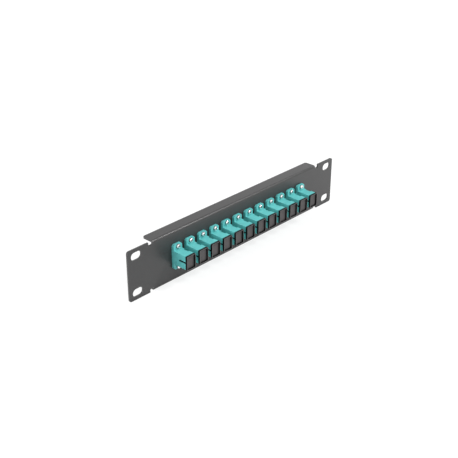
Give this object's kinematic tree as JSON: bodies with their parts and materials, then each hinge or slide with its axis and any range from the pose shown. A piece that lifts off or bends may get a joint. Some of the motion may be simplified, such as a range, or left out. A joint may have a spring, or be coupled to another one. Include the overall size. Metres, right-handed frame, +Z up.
{
  "type": "fibre patch panel",
  "caption": "Folded steel rack panel with a row of flanged simplex fibre adapters, split sleeves inside, pull-off dust caps and slotted rack ears.",
  "frame": {"origin": "centre of the plate's front face, on the centre of the four rack slots", "axes": "+X along the plate, to the right seen from the front; +Z up; the front and the front ports face -Y"},
  "size_m": [0.254, 0.0324, 0.044],
  "materials": {
    "plate": "fine-texture dark grey powder coat, matte",
    "housing": "satin moulded aqua plastic",
    "cap": "soft moulded black plastic, matte",
    "holder": "satin moulded aqua plastic, the same as the housing",
    "sleeve": null,
    "fastener": "bright nickel-plated steel"
  },
  "bodies": {
    "panel": {"faceplate": "plate", "housing_front_01": "housing", "housing_front_02": "housing", "housing_front_03": "housing", "housing_front_04": "housing", "housing_front_05": "housing", "housing_front_06": "housing", "housing_front_07": "housing", "housing_front_08": "housing", "housing_front_09": "housing", "housing_front_10": "housing", "housing_front_11": "housing", "housing_front_12": "housing", "housing_rear_01": "housing", "housing_rear_02": "housing", "housing_rear_03": "housing", "housing_rear_04": "housing", "housing_rear_05": "housing", "housing_rear_06": "housing", "housing_rear_07": "housing", "housing_rear_08": "housing", "housing_rear_09": "housing", "housing_rear_10": "housing", "housing_rear_11": "housing", "housing_rear_12": "housing", "latch_holders_front": "holder", "latch_holders_rear": "holder", "split_sleeves": "sleeve", "flange_screws": "fastener", "flange_nuts": "fastener"},
    "cap_front_01": {"cap_front_01": "cap"},
    "cap_front_02": {"cap_front_02": "cap"},
    "cap_front_03": {"cap_front_03": "cap"},
    "cap_front_04": {"cap_front_04": "cap"},
    "cap_front_05": {"cap_front_05": "cap"},
    "cap_front_06": {"cap_front_06": "cap"},
    "cap_front_07": {"cap_front_07": "cap"},
    "cap_front_08": {"cap_front_08": "cap"},
    "cap_front_09": {"cap_front_09": "cap"},
    "cap_front_10": {"cap_front_10": "cap"},
    "cap_front_11": {"cap_front_11": "cap"},
    "cap_front_12": {"cap_front_12": "cap"},
    "cap_rear_01": {"cap_rear_01": "cap"},
    "cap_rear_02": {"cap_rear_02": "cap"},
    "cap_rear_03": {"cap_rear_03": "cap"},
    "cap_rear_04": {"cap_rear_04": "cap"},
    "cap_rear_05": {"cap_rear_05": "cap"},
    "cap_rear_06": {"cap_rear_06": "cap"},
    "cap_rear_07": {"cap_rear_07": "cap"},
    "cap_rear_08": {"cap_rear_08": "cap"},
    "cap_rear_09": {"cap_rear_09": "cap"},
    "cap_rear_10": {"cap_rear_10": "cap"},
    "cap_rear_11": {"cap_rear_11": "cap"},
    "cap_rear_12": {"cap_rear_12": "cap"}
  },
  "joints": [
    {"name": "cap_front_01_pull", "type": "slide", "parent": "panel", "child": "cap_front_01", "axis": [0, -1, 0], "range_m": [0, 0.015]},
    {"name": "cap_front_02_pull", "type": "slide", "parent": "panel", "child": "cap_front_02", "axis": [0, -1, 0], "range_m": [0, 0.015]},
    {"name": "cap_front_03_pull", "type": "slide", "parent": "panel", "child": "cap_front_03", "axis": [0, -1, 0], "range_m": [0, 0.015]},
    {"name": "cap_front_04_pull", "type": "slide", "parent": "panel", "child": "cap_front_04", "axis": [0, -1, 0], "range_m": [0, 0.015]},
    {"name": "cap_front_05_pull", "type": "slide", "parent": "panel", "child": "cap_front_05", "axis": [0, -1, 0], "range_m": [0, 0.015]},
    {"name": "cap_front_06_pull", "type": "slide", "parent": "panel", "child": "cap_front_06", "axis": [0, -1, 0], "range_m": [0, 0.015]},
    {"name": "cap_front_07_pull", "type": "slide", "parent": "panel", "child": "cap_front_07", "axis": [0, -1, 0], "range_m": [0, 0.015]},
    {"name": "cap_front_08_pull", "type": "slide", "parent": "panel", "child": "cap_front_08", "axis": [0, -1, 0], "range_m": [0, 0.015]},
    {"name": "cap_front_09_pull", "type": "slide", "parent": "panel", "child": "cap_front_09", "axis": [0, -1, 0], "range_m": [0, 0.015]},
    {"name": "cap_front_10_pull", "type": "slide", "parent": "panel", "child": "cap_front_10", "axis": [0, -1, 0], "range_m": [0, 0.015]},
    {"name": "cap_front_11_pull", "type": "slide", "parent": "panel", "child": "cap_front_11", "axis": [0, -1, 0], "range_m": [0, 0.015]},
    {"name": "cap_front_12_pull", "type": "slide", "parent": "panel", "child": "cap_front_12", "axis": [0, -1, 0], "range_m": [0, 0.015]},
    {"name": "cap_rear_01_pull", "type": "slide", "parent": "panel", "child": "cap_rear_01", "axis": [0, 1, 0], "range_m": [0, 0.015]},
    {"name": "cap_rear_02_pull", "type": "slide", "parent": "panel", "child": "cap_rear_02", "axis": [0, 1, 0], "range_m": [0, 0.015]},
    {"name": "cap_rear_03_pull", "type": "slide", "parent": "panel", "child": "cap_rear_03", "axis": [0, 1, 0], "range_m": [0, 0.015]},
    {"name": "cap_rear_04_pull", "type": "slide", "parent": "panel", "child": "cap_rear_04", "axis": [0, 1, 0], "range_m": [0, 0.015]},
    {"name": "cap_rear_05_pull", "type": "slide", "parent": "panel", "child": "cap_rear_05", "axis": [0, 1, 0], "range_m": [0, 0.015]},
    {"name": "cap_rear_06_pull", "type": "slide", "parent": "panel", "child": "cap_rear_06", "axis": [0, 1, 0], "range_m": [0, 0.015]},
    {"name": "cap_rear_07_pull", "type": "slide", "parent": "panel", "child": "cap_rear_07", "axis": [0, 1, 0], "range_m": [0, 0.015]},
    {"name": "cap_rear_08_pull", "type": "slide", "parent": "panel", "child": "cap_rear_08", "axis": [0, 1, 0], "range_m": [0, 0.015]},
    {"name": "cap_rear_09_pull", "type": "slide", "parent": "panel", "child": "cap_rear_09", "axis": [0, 1, 0], "range_m": [0, 0.015]},
    {"name": "cap_rear_10_pull", "type": "slide", "parent": "panel", "child": "cap_rear_10", "axis": [0, 1, 0], "range_m": [0, 0.015]},
    {"name": "cap_rear_11_pull", "type": "slide", "parent": "panel", "child": "cap_rear_11", "axis": [0, 1, 0], "range_m": [0, 0.015]},
    {"name": "cap_rear_12_pull", "type": "slide", "parent": "panel", "child": "cap_rear_12", "axis": [0, 1, 0], "range_m": [0, 0.015]}
  ]
}
